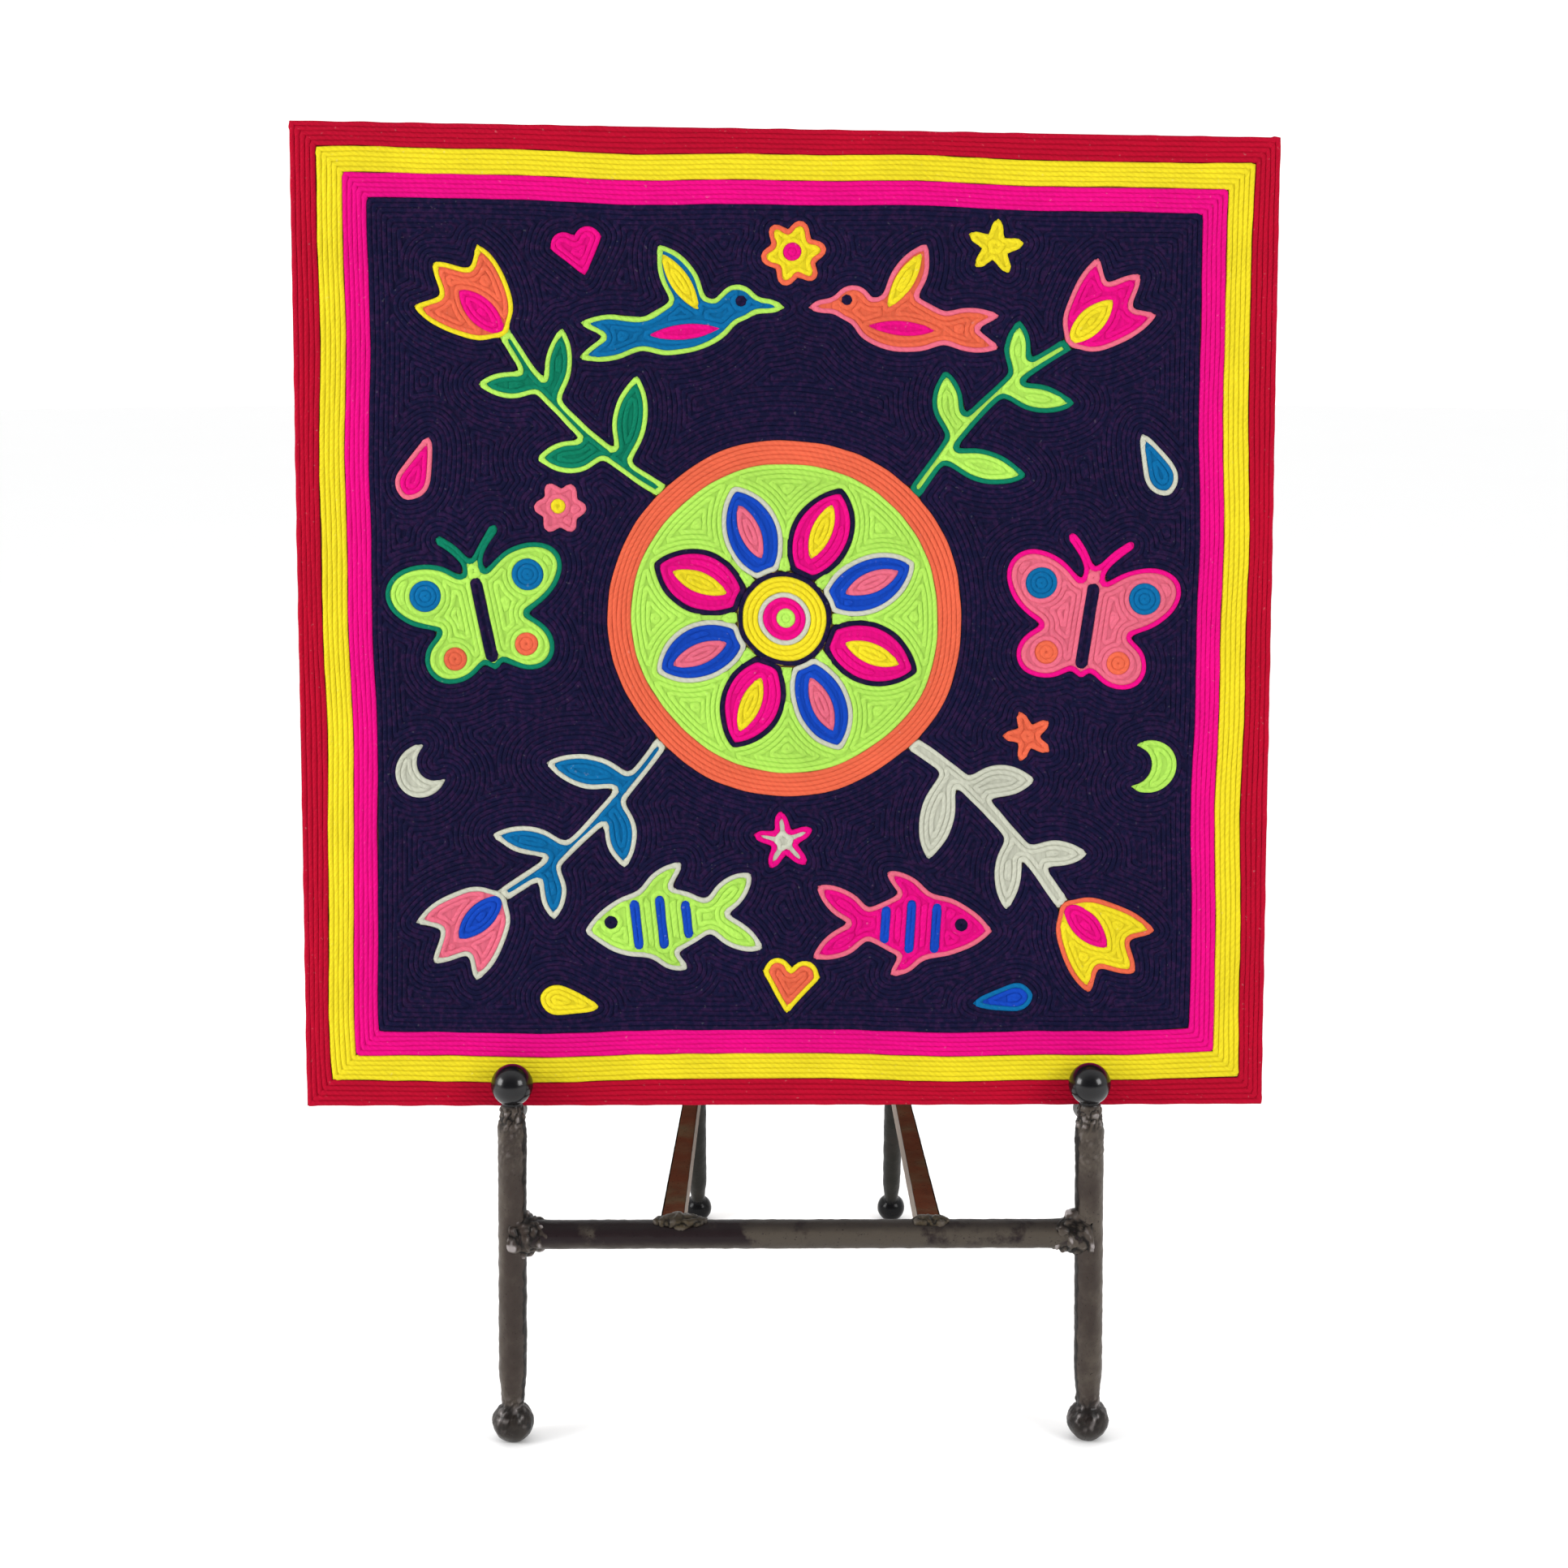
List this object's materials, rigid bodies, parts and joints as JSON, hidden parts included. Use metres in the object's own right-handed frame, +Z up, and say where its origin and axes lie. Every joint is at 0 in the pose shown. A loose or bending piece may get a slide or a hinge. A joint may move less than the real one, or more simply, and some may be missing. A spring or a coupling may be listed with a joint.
{
  "type": "yarn painting on iron display easel",
  "caption": "Square yarn painting with plain border bands and a flower medallion, leaning back on a small welded iron display easel.",
  "frame": {"origin": "on the floor under the middle of the part's box", "axes": "+Z up, -Y towards the viewer of the picture, +X to the viewer's right"},
  "size_m": [0.303, 0.2039, 0.4077],
  "materials": {
    "yarn_red": "acrylic yarn laid in wax, matte",
    "yarn_yellow": "acrylic yarn laid in wax, matte",
    "yarn_magenta": "acrylic yarn laid in wax, matte",
    "yarn_navy": "acrylic yarn laid in wax, matte",
    "yarn_orange": "acrylic yarn laid in wax, matte",
    "yarn_pink": "acrylic yarn laid in wax, matte",
    "yarn_lime": "acrylic yarn laid in wax, matte",
    "yarn_green": "acrylic yarn laid in wax, matte",
    "yarn_cerulean": "acrylic yarn laid in wax, matte",
    "yarn_blue": "acrylic yarn laid in wax, matte",
    "yarn_white": "acrylic yarn laid in wax, matte",
    "board_wood": "raw pressed board, saw-cut edges",
    "iron": "dark brown lacquered iron, glossy, worn to rust brown on the rails"
  },
  "bodies": {
    "root": {"board": "board_wood", "band_red": "yarn_red", "band_yellow": "yarn_yellow", "band_magenta": "yarn_magenta", "ground": "yarn_navy", "medallion_heart": "yarn_magenta", "medallion_hub": "yarn_yellow", "petal_1": "yarn_blue", "petal_2": "yarn_magenta", "petal_3": "yarn_blue", "petal_4": "yarn_magenta", "petal_5": "yarn_blue", "petal_6": "yarn_magenta", "petal_7": "yarn_blue", "petal_8": "yarn_magenta", "medallion_field": "yarn_lime", "medallion_rim": "yarn_orange", "tulip_upper_left": "yarn_orange", "tulip_upper_right": "yarn_magenta", "tulip_lower_left": "yarn_pink", "tulip_lower_right": "yarn_yellow", "sprig_upper_left": "yarn_green", "sprig_upper_right": "yarn_lime", "sprig_lower_left": "yarn_cerulean", "sprig_lower_right": "yarn_white", "butterfly_left": "yarn_lime", "butterfly_right": "yarn_pink", "bird_left": "yarn_cerulean", "bird_right": "yarn_orange", "fish_left": "yarn_lime", "fish_right": "yarn_magenta", "rosette_top": "yarn_yellow", "rosette_upper_left": "yarn_pink", "star_bottom": "yarn_white", "star_lower_right": "yarn_orange", "star_top_right": "yarn_yellow", "heart_bottom": "yarn_orange", "heart_top_left": "yarn_magenta", "drop_left_upper": "yarn_magenta", "drop_right_upper": "yarn_cerulean", "drop_bottom_left": "yarn_yellow", "drop_bottom_right": "yarn_blue", "crescent_left": "yarn_white", "crescent_right": "yarn_lime", "post_left": "iron", "post_right": "iron", "crossbar": "iron", "rail_left": "iron", "rail_right": "iron", "rear_leg_left": "iron", "rear_leg_right": "iron", "back_bar": "iron", "ledge_left": "iron", "ledge_right": "iron"}
  },
  "joints": []
}
